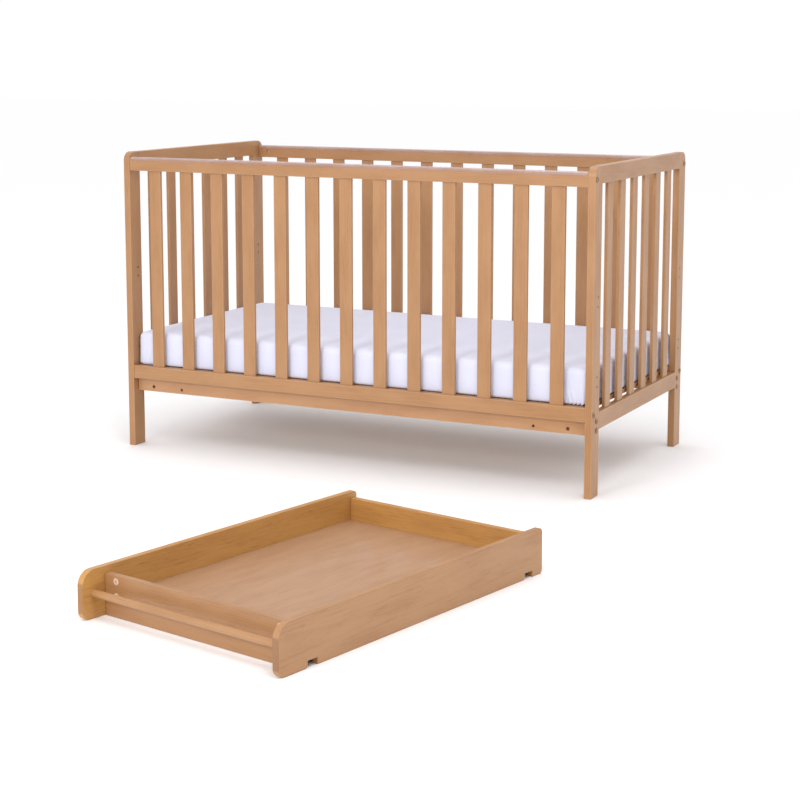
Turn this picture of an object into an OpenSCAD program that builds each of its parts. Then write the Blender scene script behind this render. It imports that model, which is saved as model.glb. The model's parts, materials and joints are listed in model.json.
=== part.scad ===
// Slatted cot for a 140 x 70 cm mattress, with a changing tray that lifts off its long rails.
// The tray stands on the floor in front of the cot, turned a little, as it is shown.
// Origin: on the floor, at the centre of the rectangle that the cot and the tray cover together.
// +X runs along the cot, +Y from the tray towards the cot's back, +Z up.

/* [Cot] */
// Length over the end panels
cot_l = 1440; // [1200:5:1600]
// Depth over the posts
cot_w = 740; // [640:5:900]
// Height of the end panels
cot_h = 860; // [780:5:1000]

/* [End panels] */
// Thickness of a post and of the end rails, along the cot
post_t = 20; // [18:0.5:28]
// Width of a post, across the cot
post_w = 52; // [48:1:70]
// Radius of a post's outer top corner
post_round = 22; // [6:1:30]
// Height of the upper end rail
end_top_h = 46; // [36:1:70]
// Height of the lower end rail
end_low_h = 46; // [36:1:70]
// Underside of the lower end rail above the floor
end_low_z = 176; // [165:1:200]
// Length of an end rail's tenon
end_tenon = 14; // [8:0.5:15]
// Shoulder above and below an end rail's tenon
end_shoulder = 7; // [4:0.5:12]
// Thickness of an end rail's tenon
end_tenon_t = 8; // [6:0.5:10]
// Slats in an end panel
end_slats = 6; // [4:1:7]

/* [Side panels] */
// Thickness of the long rails
side_t = 20; // [18:0.5:24]
// Step from the posts' faces back to the long rails
side_step = 1.5; // [0.5:0.5:4]
// Top of the long rails below the top of the end panels
side_drop = 15; // [8:1:30]
// Height of the upper long rails
side_top_h = 38; // [32:1:50]
// Radius along the top of the upper long rails
side_round = 8; // [3:0.5:9]
// Underside of the lower long rails above the floor
side_low_z = 201; // [190:1:210]
// Height of the lower long rails
side_low_h = 38; // [32:1:50]
// Slats in a side panel
side_slats = 13; // [9:1:13]
// Clear gap from a post to the nearest side slat
side_end_gap = 63; // [45:1:65]

/* [Slats] */
// Width of a slat
slat_w = 38; // [30:1:42]
// Thickness of a slat
slat_t = 10; // [8:0.5:14]
// Depth to which a slat is let into its rails
slat_tenon = 12; // [8:1:16]
// Play round a slat in its mortise
slat_fit = 0.1; // [0.05:0.05:0.3]
// Radius on the long edges of slats and rails
edge_r = 2; // [1:0.5:3]

/* [Teething covers] */
// Wall of the plastic cover on a long rail
cover_t = 1.2; // [0.8:0.1:2]
// Height of the cover's legs, over the rail's top corners
cover_leg = 10; // [9:0.5:16]
// Play between cover and rail
cover_fit = 0.1; // [0.05:0.05:0.3]
// Gap from the cover's end to a post
cover_end = 3; // [1:0.5:10]

/* [Mattress base] */
// Underside of the base rails above the floor, at the lowest of the three heights
base_z = 162; // [150:1:170]
// Height of the base rails up to their slats, and of the cross rails
base_h = 64; // [56:1:70]
// Thickness of the base rails and cross rails
base_t = 20; // [18:0.5:24]
// Play between the base and the panels round it
base_play = 0.8; // [0.5:0.1:2]
// Slats of the base
base_slats = 13; // [9:1:15]
// Width of a base slat
base_slat_w = 60; // [50:1:70]
// Thickness of a base slat
base_slat_t = 12; // [9:0.5:16]
// Distance from a post to the centre of the nearest cross rail
cross_in = 151; // [120:1:200]
// From the lowest height of the base up to the middle one
base_rise_1 = 115; // [100:1:125]
// From the middle height of the base up to the top one
base_rise_2 = 208; // [150:1:215]

/* [Mattress] */
// Play between the mattress and the posts at each end
mattress_end_play = 3; // [3:0.5:10]
// Play between the mattress and the long rails at each side
mattress_side_play = 3.5; // [2:0.5:8]
// Height of the mattress at the middle
mattress_h = 100; // [80:1:120]
// Radius of the mattress's corners, seen from above
mattress_corner = 30; // [20:1:70]
// Radius of its upper edge
mattress_edge = 26; // [15:1:35]
// Radius of its lower edge
mattress_low_edge = 12; // [6:1:20]
// Rise of the top from the edge to the middle
mattress_crown = 5; // [2:0.5:10]
// How far its sides draw in between the corners
mattress_waist = 4; // [1:0.5:6]

/* [Changer] */
// Length of the changer's side boards
tray_l = 865; // [820:1:900]
// Width over the side boards
tray_w = 553; // [480:1:620]
// Height of the side boards
tray_h = 104; // [100:1:130]
// Height of the front and rear boards
tray_low_h = 90; // [86:1:98]
// Thickness of all four boards
tray_t = 16; // [15:0.5:20]
// From the side boards' front ends to the front board
tray_front_in = 60; // [52:1:70]
// From the side boards' rear ends to the rear board
tray_rear_in = 8; // [0:0.5:12]
// Underside of the floor panel above the boards' lower edge
panel_z = 30; // [24:0.5:31]
// Thickness of the floor panel
panel_t = 6; // [4:0.5:6]
// Depth of the groove that holds the floor panel
groove = 6; // [4:0.5:8]
// Play round the floor panel in its groove
groove_fit = 0.15; // [0.1:0.05:0.4]
// From the side boards' front ends to the centre of the first notch
notch_in = 96; // [92:1:100]
// Width of a notch, for a rail and its cover
notch_w = 28; // [26:1:34]
// Depth of a notch
notch_d = 14; // [10:1:18]
// Radius of the side boards' upper front corner
tray_round_front = 20; // [8:1:28]
// Radius of the side boards' lower front corner
tray_round_foot = 15; // [4:1:20]
// Radius of the side boards' rear corners
tray_round_rear = 8; // [3:1:14]
// Diameter of the towel rail
towel_d = 16; // [12:0.5:20]
// From the side boards' front ends to the towel rail's centre
towel_in = 30; // [24:1:34]
// Height of the towel rail's centre
towel_z = 54; // [40:1:70]
// Depth of the towel rail's sockets
towel_socket = 8; // [5:0.5:11]
// Play round the towel rail in its sockets
towel_fit = 0.1; // [0.05:0.05:0.3]

/* [Where the changer stands] */
// From the cot's front face to the changer's nearest corner
tray_gap = 540; // [100:5:900]
// Changer's centre to the right of the cot's centre
tray_shift = 490; // [0:5:700]
// Changer's turn, clockwise from above
tray_turn = 12; // [0:0.5:20]

/* [Fasteners] */
// Thread diameter of the panel and base bolts
bolt_d = 6; // [5:0.5:7]
// Play round a bolt in its holes
bolt_play = 0.4; // [0.2:0.05:0.6]
// Diameter of a bolt's flat head
head_d = 14; // [12:0.5:16]
// Height of a bolt's flat head
head_h = 2; // [1.5:0.1:3]
// Hexagon socket of a bolt, across the corners
socket_d = 4.6; // [3.5:0.1:5]
// Diameter of a barrel nut
nut_d = 10; // [9:0.5:12]
// Length of a barrel nut
nut_l = 14; // [12:0.5:15]
// Depth of a barrel nut's end under the face of its rail
nut_sink = 3; // [2:0.5:3]
// From a long rail's end to its barrel nut
side_nut_in = 34; // [28:1:45]
// From a base rail's end to its barrel nut
base_nut_in = 54; // [40:1:60]
// Length of bolt past its barrel nut
bolt_past = 10; // [6:1:14]
// From the base rail's underside up to its lower bolt
base_bolt_up = 14; // [12:1:18]
// Distance between the two bolts of a base rail's end
bolt_pair = 25; // [20:1:32]
// Diameter of the wooden dowels in the side panels
dowel_d = 8; // [6:0.5:8]
// Length of those dowels
dowel_l = 30; // [24:1:34]
// Depth of a dowel in its post
dowel_in = 12; // [8:1:14]
// Distance from a panel bolt to its dowel
dowel_off = 11; // [10:0.5:12]
// Play round a dowel
dowel_fit = 0.1; // [0.05:0.05:0.3]
// Diameter of the screws in the base
screw_d = 4; // [3:0.5:5]
// Head diameter of the screws in the base
screw_head = 8; // [6:0.5:9]
// Length of the screws that hold the base slats
screw_l = 40; // [30:1:50]
// Length of the screws that hold the cross rails
cross_screw_l = 60; // [50:1:70]
// Depth of the cross rail screws' heads under the face
cross_sink = 5; // [2:0.5:8]
// From the base rail's underside up to the lower cross rail screw
cross_screw_up = 12; // [10:1:16]
// Distance between the two screws of a cross rail's end
cross_screw_pair = 34; // [24:1:40]
// Diameter of a cam fitting
cam_d = 15; // [14:0.5:15]
// Depth of a cam fitting
cam_deep = 12.5; // [11:0.5:13]
// From a board's end to its cams
cam_in = 34; // [24:1:40]
// Height of the upper cams
cam_z = 77; // [74:0.5:78]
// Distance from the upper to the lower cams
cam_pair = 32; // [28:0.5:32]
// Shank diameter of a cam's bolt
cam_bolt_d = 6; // [5:0.5:7]
// Depth to which a cam's bolt is screwed into a side board
cam_bolt_in = 11; // [8:0.5:12]

/* [Hidden] */
$fn = 48;
sides = ["front", "rear"];
wood = "#cb9c6d";
wood_dark = "#b98450";
panel_wood = "#c69f74";
sheet_white = "#e6e2ef";
steel = "#a9a9a8";
clear_plastic = "#e6dcd6";
over = 1; // how far a cut runs past a face
join_gap = 0.5; // end gap of tenons, dowels and base rails
rest_gap = 0.3; // between the mattress and the slats under it
screw_cone = (screw_head - screw_d) / 2; // height of a countersunk head
cam_slot = [cam_d * 0.6, 1.6, 1.2]; // length, width and depth of the cross slot in a cam
cam_grip = 5; // how far a cam's bolt reaches into the cam

// Heights
side_top_z = cot_h - side_drop - side_top_h;
end_top_z = cot_h - end_top_h;
base_slat_z = base_z + base_h;
mattress_z = base_slat_z + base_slat_t + rest_gap;
bolt_z = base_z + base_bolt_up;
cross_screw_z = base_z + cross_screw_up;

// Cot half sizes and planes, measured from the cot's centre
half_l = cot_l / 2;
half_w = cot_w / 2;
inner_l = half_l - post_t;
side_y = half_w - side_step - side_t / 2;
side_inner = side_y - side_t / 2;
base_out = side_inner - base_play;
base_y = base_out - base_t / 2;
rail_end = inner_l - join_gap;
side_pitch = (2 * (inner_l - side_end_gap) - slat_w) / (side_slats - 1);
end_inner = half_w - post_w;
end_pitch = (2 * end_inner + slat_w) / (end_slats + 1);
base_pitch = (2 * rail_end - base_slat_w) / (base_slats - 1);
cross_x = inner_l - cross_in;

// Changer planes, measured from its front left lower corner
tray_inner_w = tray_w - 2 * tray_t;
front_board_y = tray_front_in;
rear_board_y = tray_l - tray_rear_in - tray_t;
notch_pitch = 2 * side_y;
cam_zs = [cam_z, cam_z - cam_pair];

// Footprint and origin
tray_half_x = (tray_w * cos(tray_turn) + tray_l * sin(tray_turn)) / 2;
tray_half_y = (tray_w * sin(tray_turn) + tray_l * cos(tray_turn)) / 2;
tray_y = -half_w - tray_gap - tray_half_y;
x_low = min(-half_l - head_h, tray_shift - tray_half_x);
x_high = max(half_l + head_h, tray_shift + tray_half_x);
origin = [(x_low + x_high) / 2, (tray_y - tray_half_y + half_w) / 2, 0];

// ---------- helpers ----------

// Puts a piece drawn round the cot's centre in the part's frame.
module at_cot() {
    translate(-origin) children();
}

// Puts a piece drawn from the changer's front left lower corner in the part's frame.
module at_tray() {
    translate([tray_shift, tray_y, 0] - origin)
        rotate([0, 0, -tray_turn])
            translate([-tray_w / 2, -tray_l / 2, 0])
                children();
}

// Keeps a piece at the front or left, or mirrors it to the rear or right.
module side_of(side) {
    mirror([0, side == "rear" ? 1 : 0, 0]) children();
}
module end_of(end) {
    mirror([end == "right" ? 1 : 0, 0, 0]) children();
}

// A w x h rectangle with its own radius at each corner: lower left, lower right, upper right, upper left.
module cornered(w, h, radii) {
    difference() {
        square([w, h]);
        for (i = [0:3]) if (radii[i] > 0) {
            r = radii[i];
            right = i == 1 || i == 2;
            high = i >= 2;
            centre = [right ? w - r : r, high ? h - r : r];
            difference() {
                translate(centre - [right ? 0 : r + over, high ? 0 : r + over]) square(r + over);
                translate(centre) circle(r);
            }
        }
    }
}

// Extrudes an outline drawn in (Y, Z) along +X, or one drawn in (X, Z) along +Y.
module along_x(length) {
    rotate([90, 0, 90]) linear_extrude(length) children();
}
module along_y(length) {
    translate([0, length, 0]) rotate([90, 0, 0]) linear_extrude(length) children();
}

// Cylinders that lie along an axis.
module rod_x(d, length) {
    rotate([0, 90, 0]) cylinder(d = d, h = length);
}
module rod_y(d, length) {
    rotate([-90, 0, 0]) cylinder(d = d, h = length);
}

function side_slat_x(i) = (i - (side_slats + 1) / 2) * side_pitch;
function end_slat_y(i) = (i - (end_slats + 1) / 2) * end_pitch;
function base_slat_x(i) = (i - (base_slats + 1) / 2) * base_pitch;
function panel_bolt_zs() = [side_low_z + side_low_h / 2, side_top_z + side_top_h / 2];
function panel_dowel_zs() = [panel_bolt_zs()[0] + dowel_off, panel_bolt_zs()[1] - dowel_off];
function base_bolt_zs() = [bolt_z, bolt_z + bolt_pair];
function free_hole_zs() = [for (rise = [base_rise_1, base_rise_1 + base_rise_2]) for (z = base_bolt_zs()) z + rise];

// ---------- end panels ----------

// Front left post; the others are its mirror images.
module post() {
    color(wood)
    difference() {
        translate([-half_l, -half_w, 0])
            along_x(post_t) cornered(post_w, cot_h, [edge_r, edge_r, 0, post_round]);
        for (rail = [[end_low_z, end_low_h], [end_top_z, end_top_h]])
            translate([-half_l + (post_t - end_tenon_t) / 2, -end_inner - end_tenon - join_gap, rail[0] + end_shoulder])
                cube([end_tenon_t, end_tenon + join_gap + over, rail[1] - 2 * end_shoulder]);
        for (z = panel_bolt_zs())
            translate([-half_l - over, -side_y, z]) rod_x(bolt_d + bolt_play, post_t + 2 * over);
        for (z = panel_dowel_zs())
            translate([-inner_l - dowel_in - join_gap, -side_y, z])
                rod_x(dowel_d + dowel_fit, dowel_in + join_gap + over);
        for (z = concat(base_bolt_zs(), free_hole_zs()))
            translate([-half_l - over, -base_y, z]) rod_x(bolt_d + bolt_play, post_t + 2 * over);
    }
}

// Left end rail with a tenon at each end and mortises for the slats in one edge.
module end_rail(z, h, mortise_z) {
    color(wood)
    difference() {
        union() {
            translate([-half_l, -end_inner, z]) cube([post_t, 2 * end_inner, h]);
            translate([-half_l + (post_t - end_tenon_t) / 2, -end_inner - end_tenon, z + end_shoulder])
                cube([end_tenon_t, 2 * (end_inner + end_tenon), h - 2 * end_shoulder]);
        }
        for (i = [1:end_slats])
            translate([-half_l + post_t / 2 - slat_t / 2 - slat_fit, end_slat_y(i) - slat_w / 2 - slat_fit, mortise_z])
                cube([slat_t + 2 * slat_fit, slat_w + 2 * slat_fit, slat_tenon + join_gap + over]);
    }
}
module end_top_rail() {
    end_rail(end_top_z, end_top_h, end_top_z - over);
}
module end_lower_rail() {
    end_rail(end_low_z, end_low_h, end_low_z + end_low_h - slat_tenon - join_gap);
}

module end_slat_group() {
    low = end_low_z + end_low_h - slat_tenon;
    high = end_top_z + slat_tenon;
    color(wood)
    for (i = [1:end_slats])
        translate([-half_l + (post_t - slat_t) / 2, end_slat_y(i) - slat_w / 2, low])
            linear_extrude(high - low) cornered(slat_t, slat_w, [edge_r, edge_r, edge_r, edge_r]);
}

// ---------- side panels ----------

// Front rail of a side panel: bored at both ends for a bolt, its barrel nut and a dowel, mortised for the slats.
module side_rail(z, h, top_r, low_r, mortise_z, bolt_at, dowel_at) {
    color(wood)
    difference() {
        translate([-inner_l, -side_y - side_t / 2, z])
            along_x(2 * inner_l) cornered(side_t, h, [low_r, low_r, top_r, top_r]);
        for (i = [1:side_slats])
            translate([side_slat_x(i) - slat_w / 2 - slat_fit, -side_y - slat_t / 2 - slat_fit, mortise_z])
                cube([slat_w + 2 * slat_fit, slat_t + 2 * slat_fit, slat_tenon + join_gap + over]);
        for (end = ["left", "right"]) end_of(end) {
            translate([-inner_l - over, -side_y, bolt_at])
                rod_x(bolt_d + bolt_play, side_nut_in + bolt_past + over + join_gap);
            translate([-inner_l + side_nut_in, -side_inner - nut_l - nut_sink, bolt_at])
                rod_y(nut_d + bolt_play / 2, nut_l + nut_sink + over);
            translate([-inner_l - over, -side_y, dowel_at])
                rod_x(dowel_d + dowel_fit, dowel_l - dowel_in + join_gap + over);
        }
    }
}
module side_top_rail() {
    side_rail(side_top_z, side_top_h, side_round, edge_r, side_top_z - over,
              panel_bolt_zs()[1], panel_dowel_zs()[1]);
}
module side_lower_rail() {
    side_rail(side_low_z, side_low_h, edge_r, edge_r, side_low_z + side_low_h - slat_tenon - join_gap,
              panel_bolt_zs()[0], panel_dowel_zs()[0]);
}

module side_slat(i) {
    low = side_low_z + side_low_h - slat_tenon;
    high = side_top_z + slat_tenon;
    color(wood)
    translate([side_slat_x(i) - slat_w / 2, -side_y - slat_t / 2, low])
        linear_extrude(high - low) cornered(slat_w, slat_t, [edge_r, edge_r, edge_r, edge_r]);
}

// Plastic channel that clips over the top of a long rail.
module teething_cover() {
    out = cover_t + cover_fit;
    top = side_top_z + side_top_h;
    color(clear_plastic)
    translate([-inner_l + cover_end, -side_y - side_t / 2, top - cover_leg])
        along_x(2 * (inner_l - cover_end))
            difference() {
                translate([-out, 0])
                    cornered(side_t + 2 * out, cover_leg + out, [0, 0, side_round + out, side_round + out]);
                translate([-cover_fit, -over])
                    cornered(side_t + 2 * cover_fit, cover_leg + cover_fit + over,
                             [0, 0, side_round + cover_fit, side_round + cover_fit]);
            }
}

// ---------- fasteners ----------

// A bolt from outside the left post, at the front or the rear: flat head with a socket, and its shank.
module bolt(y, z, shank) {
    translate([-half_l, y, z])
        difference() {
            union() {
                translate([-head_h, 0, 0]) rod_x(head_d, head_h);
                rod_x(bolt_d, shank);
            }
            translate([-head_h - over, 0, 0]) rotate([0, 90, 0]) cylinder(d = socket_d, h = over + head_h, $fn = 6);
        }
}

module panel_bolt_set() {
    color(steel)
    for (side = sides) side_of(side) for (end = ["left", "right"]) end_of(end)
        for (z = panel_bolt_zs()) bolt(-side_y, z, post_t + side_nut_in + bolt_past);
}

// The shanks end flush with the posts' inner faces, so that the base can be raised past them.
module base_bolt_set() {
    color(steel)
    for (side = sides) side_of(side) for (end = ["left", "right"]) end_of(end)
        for (z = base_bolt_zs()) bolt(-base_y, z, post_t);
}

// A barrel nut across a rail, with its cross hole along the bolt.
module barrel_nut() {
    difference() {
        translate([0, -nut_l / 2, 0]) rod_y(nut_d, nut_l);
        translate([-nut_d, 0, 0]) rod_x(bolt_d + bolt_play / 2, 2 * nut_d);
    }
}

module panel_barrel_nut_set() {
    color(steel)
    for (side = sides) side_of(side) for (end = ["left", "right"]) end_of(end)
        for (z = panel_bolt_zs())
            translate([-inner_l + side_nut_in, -side_inner - nut_sink - nut_l / 2, z]) barrel_nut();
}

module base_barrel_nut_set() {
    color(steel)
    for (side = sides) side_of(side) for (end = ["left", "right"]) end_of(end)
        for (z = base_bolt_zs())
            translate([-rail_end + base_nut_in, -base_out + nut_sink + nut_l / 2, z]) barrel_nut();
}

module panel_dowel_set() {
    color(wood_dark)
    for (side = sides) side_of(side) for (end = ["left", "right"]) end_of(end)
        for (z = panel_dowel_zs())
            translate([-inner_l - dowel_in, -side_y, z]) rod_x(dowel_d, dowel_l);
}

// ---------- mattress base ----------

// Front base rail: notched above for the slats, and bored for its bolts, barrel nuts and screws.
module base_rail() {
    color(wood)
    difference() {
        translate([-rail_end, -base_out, base_z])
            along_x(2 * rail_end) cornered(base_t, base_h + base_slat_t, [edge_r, edge_r, 0, 0]);
        for (i = [1:base_slats])
            translate([base_slat_x(i) - base_slat_w / 2 - slat_fit, -base_out - over, base_slat_z])
                cube([base_slat_w + 2 * slat_fit, base_t + 2 * over, base_slat_t + over]);
        for (end = ["left", "right"]) end_of(end) {
            for (z = base_bolt_zs()) {
                translate([-rail_end - over, -base_y, z])
                    rod_x(bolt_d + bolt_play, base_nut_in + bolt_past + over);
                translate([-rail_end + base_nut_in, -base_out - over, z])
                    rod_y(nut_d + bolt_play / 2, nut_l + nut_sink + over);
            }
            for (z = [cross_screw_z, cross_screw_z + cross_screw_pair])
                translate([-cross_x, -base_out, z]) {
                    translate([0, -over, 0]) rod_y(screw_d + bolt_play, base_t + 2 * over);
                    translate([0, -over, 0]) rod_y(screw_head + bolt_play, cross_sink + over);
                }
        }
        for (i = [1:base_slats])
            translate([base_slat_x(i), -base_y, base_slat_z + base_slat_t - screw_l - join_gap])
                cylinder(d = screw_d + bolt_play, h = screw_l);
    }
}

// The two cross rails, seated between the base rails under the slats.
module cross_rails() {
    inner = base_out - base_t;
    color(wood)
    for (end = ["left", "right"]) end_of(end)
        difference() {
            translate([-cross_x - base_t / 2, -inner, base_z]) cube([base_t, 2 * inner, base_h]);
            for (side = sides) side_of(side)
                for (z = [cross_screw_z, cross_screw_z + cross_screw_pair])
                    translate([-cross_x, -inner - over, z])
                        rod_y(screw_d + bolt_play, cross_screw_l - base_t + cross_sink + over + join_gap);
        }
}

module base_slat_set() {
    color(wood)
    for (i = [1:base_slats])
        difference() {
            translate([base_slat_x(i) - base_slat_w / 2, -base_out, base_slat_z])
                along_y(2 * base_out) cornered(base_slat_w, base_slat_t, [0, 0, edge_r, edge_r]);
            for (side = sides) side_of(side)
                translate([base_slat_x(i), -base_y, base_slat_z - over]) {
                    cylinder(d = screw_d + bolt_play, h = base_slat_t + 2 * over);
                    translate([0, 0, over + base_slat_t - screw_cone])
                        cylinder(d1 = screw_d + bolt_play, d2 = screw_head + bolt_play, h = screw_cone);
                }
        }
}

// Countersunk screw, head up at z = 0.
module screw(length) {
    translate([0, 0, -screw_cone]) cylinder(d1 = screw_d, d2 = screw_head, h = screw_cone);
    translate([0, 0, -length]) cylinder(d = screw_d, h = length - screw_cone);
}

module base_screw_set() {
    color(steel)
    for (side = sides) side_of(side) {
        for (i = [1:base_slats])
            translate([base_slat_x(i), -base_y, base_slat_z + base_slat_t]) screw(screw_l);
        for (end = ["left", "right"]) end_of(end)
            for (z = [cross_screw_z, cross_screw_z + cross_screw_pair])
                translate([-cross_x, -base_out + cross_sink - screw_cone, z])
                    rotate([90, 0, 0]) screw(cross_screw_l);
    }
}

// ---------- mattress ----------

// The mattress is built from rings: rounded rectangles whose sides draw in between the corners.
corner_steps = 6; // facets in a corner
long_steps = 8; // points along a long side
short_steps = 4; // points along a short side
edge_steps = 5; // rings in a rounded edge
mattress_half = [inner_l - mattress_end_play, side_inner - mattress_side_play];
crown_shares = [0.12, 0.3, 0.55, 0.85]; // rings on the top, as shares of the way to the middle

// Outline of a ring, inset d from the widest one.
function ring_corner(d, q, a) =
    let (r = max(mattress_corner - d, 8), x = mattress_half[0] - d - r, y = mattress_half[1] - d - r)
    [(q == 0 || q == 3 ? x : -x) + r * cos(a), (q < 2 ? y : -y) + r * sin(a)];
function ring(d, z) = [
    for (q = [0:3]) each concat(
        [for (i = [0:corner_steps]) let (p = ring_corner(d, q, q * 90 + i * 90 / corner_steps)) [p[0], p[1], z]],
        let (n = q % 2 == 0 ? long_steps : short_steps,
             from = ring_corner(d, q, q * 90 + 90), to = ring_corner(d, (q + 1) % 4, q * 90 + 90),
             inward = -[cos(q * 90 + 90), sin(q * 90 + 90)])
        [for (i = [1:n]) let (f = i / (n + 1), p = from + f * (to - from) + 4 * f * (1 - f) * mattress_waist * inward)
            [p[0], p[1], z]])];

// Insets and heights of the rings, from the underside round the edges to the middle of the top.
top_edge_z = mattress_h - mattress_crown;
ring_list = concat(
    [for (i = [0:edge_steps]) let (a = i * 90 / edge_steps)
        [mattress_low_edge * (1 - sin(a)), mattress_low_edge * (1 - cos(a))]],
    [for (i = [0:edge_steps]) let (a = i * 90 / edge_steps)
        [mattress_edge * (1 - cos(a)), top_edge_z - mattress_edge * (1 - sin(a))]],
    [for (s = crown_shares)
        [mattress_edge + s * (mattress_half[1] - mattress_edge - mattress_waist),
         top_edge_z + mattress_crown * (1 - pow(1 - s, 2))]]);

module mattress_body() {
    n = 4 * (corner_steps + 1) + 2 * (long_steps + short_steps);
    rings = len(ring_list);
    points = concat([for (s = ring_list) each ring(s[0], s[1])], [[0, 0, 0], [0, 0, mattress_h]]);
    bands = [for (k = [0:rings - 2]) for (i = [0:n - 1]) let (j = (i + 1) % n, a = k * n, b = (k + 1) * n)
        each [[a + i, b + j, a + j], [a + i, b + i, b + j]]];
    caps = [for (i = [0:n - 1]) let (j = (i + 1) % n, b = (rings - 1) * n)
        each [[i, j, rings * n], [b + i, rings * n + 1, b + j]]];
    color(sheet_white)
    translate([0, 0, mattress_z]) polyhedron(points, concat(bands, caps));
}

// ---------- changer ----------

// Left side board: notched below for the cot's rails, grooved for the floor, bored for cams and towel rail.
module tray_side_board() {
    color(wood)
    difference() {
        along_x(tray_t)
            difference() {
                cornered(tray_l, tray_h, [tray_round_foot, tray_round_rear, tray_round_rear, tray_round_front]);
                for (y = [notch_in, notch_in + notch_pitch])
                    translate([y - notch_w / 2, -over]) square([notch_w, notch_d + over]);
            }
        translate([tray_t - groove - groove_fit, front_board_y + tray_t - groove - join_gap, panel_z - groove_fit])
            cube([groove + groove_fit + over, rear_board_y - front_board_y - tray_t + 2 * (groove + join_gap),
                  panel_t + 2 * groove_fit]);
        for (y = [front_board_y + tray_t / 2, rear_board_y + tray_t / 2]) for (z = cam_zs)
            translate([tray_t - cam_bolt_in, y, z]) rod_x(cam_bolt_d + bolt_play / 4, cam_bolt_in + over);
        translate([tray_t - towel_socket, towel_in, towel_z]) rod_x(towel_d + towel_fit, towel_socket + over);
    }
}

// Right side board, the left one's mirror image.
module tray_right_board() {
    translate([tray_w, 0, 0]) mirror([1, 0, 0]) tray_side_board();
}

// Front board as it lies in the tray; turned round for the rear. Cams are let into its outer face.
module tray_cross_board() {
    color(wood)
    difference() {
        translate([tray_t, 0, 0])
            along_x(tray_inner_w) cornered(tray_t, tray_low_h, [edge_r, edge_r, edge_r, edge_r]);
        translate([tray_t - over, tray_t - groove - groove_fit, panel_z - groove_fit])
            cube([tray_inner_w + 2 * over, groove + groove_fit + over, panel_t + 2 * groove_fit]);
        for (x = [tray_t + cam_in, tray_w - tray_t - cam_in]) for (z = cam_zs)
            translate([x, -over, z]) rod_y(cam_d + bolt_play / 2, cam_deep + over);
        for (x = [tray_t - over, tray_w - tray_t - cam_in]) for (z = cam_zs)
            translate([x, tray_t / 2, z]) rod_x(cam_bolt_d + bolt_play, cam_in + over);
    }
}
module tray_front_board() {
    translate([0, front_board_y, 0]) tray_cross_board();
}
module tray_rear_board() {
    translate([0, rear_board_y + tray_t, 0]) mirror([0, 1, 0]) tray_cross_board();
}

module tray_floor() {
    color(panel_wood)
    translate([tray_t - groove, front_board_y + tray_t - groove, panel_z])
        cube([tray_inner_w + 2 * groove, rear_board_y - front_board_y - tray_t + 2 * groove, panel_t]);
}

module towel_rail_bar() {
    length = tray_inner_w + 2 * (towel_socket - join_gap);
    color(wood)
    translate([(tray_w - length) / 2, towel_in, towel_z]) rod_x(towel_d, length);
}

// One cam with the bolt that it pulls: the cam faces -Y, the bolt runs towards -X into the side board.
module cam_and_bolt() {
    reach = cam_in - cam_d / 2 + cam_grip;
    difference() {
        rod_y(cam_d, cam_deep);
        cube([cam_slot[0], 2 * cam_slot[2], cam_slot[1]], center = true);
        cube([cam_slot[1], 2 * cam_slot[2], cam_slot[0]], center = true);
        translate([-cam_d, tray_t / 2, 0]) rod_x(cam_bolt_d + bolt_play, cam_d);
    }
    translate([-cam_in - cam_bolt_in + join_gap, tray_t / 2, 0])
        rod_x(cam_bolt_d, reach + cam_bolt_in - join_gap);
}

module cam_set() {
    color(steel)
    for (rear = [0, 1]) translate([0, rear ? rear_board_y + tray_t : front_board_y, 0]) mirror([0, rear, 0])
        for (right = [0, 1]) translate([right ? tray_w : 0, 0, 0]) mirror([right, 0, 0])
            for (z = cam_zs) translate([tray_t + cam_in, 0, z]) cam_and_bolt();
}

// ---------- nodes ----------

at_cot() post();  // front_left_post
at_cot() end_of("right") post();  // front_right_post
at_cot() side_of("rear") post();  // rear_left_post
at_cot() end_of("right") side_of("rear") post();  // rear_right_post
at_cot() end_top_rail();  // left_end_top_rail
at_cot() end_lower_rail();  // left_end_lower_rail
at_cot() end_slat_group();  // left_end_slats
at_cot() end_of("right") end_top_rail();  // right_end_top_rail
at_cot() end_of("right") end_lower_rail();  // right_end_lower_rail
at_cot() end_of("right") end_slat_group();  // right_end_slats
at_cot() side_top_rail();  // front_top_rail
at_cot() side_lower_rail();  // front_lower_rail
at_cot() side_of("rear") side_top_rail();  // rear_top_rail
at_cot() side_of("rear") side_lower_rail();  // rear_lower_rail
for (side = sides) for (i = [1:side_slats])
    at_cot() side_of(side) side_slat(i);
at_cot() teething_cover();  // front_teething_cover
at_cot() side_of("rear") teething_cover();  // rear_teething_cover
at_cot() panel_bolt_set();  // panel_bolts
at_cot() panel_barrel_nut_set();  // panel_barrel_nuts
at_cot() panel_dowel_set();  // panel_dowels
at_cot() base_bolt_set();  // base_bolts
at_cot() base_rail();  // base_front_rail
at_cot() side_of("rear") base_rail();  // base_rear_rail
at_cot() cross_rails();  // base_cross_rails
at_cot() base_slat_set();  // base_slats
at_cot() base_barrel_nut_set();  // base_barrel_nuts
at_cot() base_screw_set();  // base_screws
at_cot() mattress_body();  // mattress
at_tray() tray_side_board();  // changer_left_board
at_tray() tray_right_board();  // changer_right_board
at_tray() tray_front_board();  // changer_front_board
at_tray() tray_rear_board();  // changer_rear_board
at_tray() tray_floor();  // changer_floor_panel
at_tray() towel_rail_bar();  // towel_rail
at_tray() cam_set();  // changer_cam_fittings
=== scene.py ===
"""A slatted cot in honey-coloured wood with its made-up mattress, and its changer on the floor.

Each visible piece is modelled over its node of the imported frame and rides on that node's body.
All sizes are in metres, in the frame's own axes: +X along the cot, +Y towards its back, +Z up.
"""

import json
import math
import random

import bmesh
import bpy
from mathutils import Matrix, Vector, noise


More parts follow.
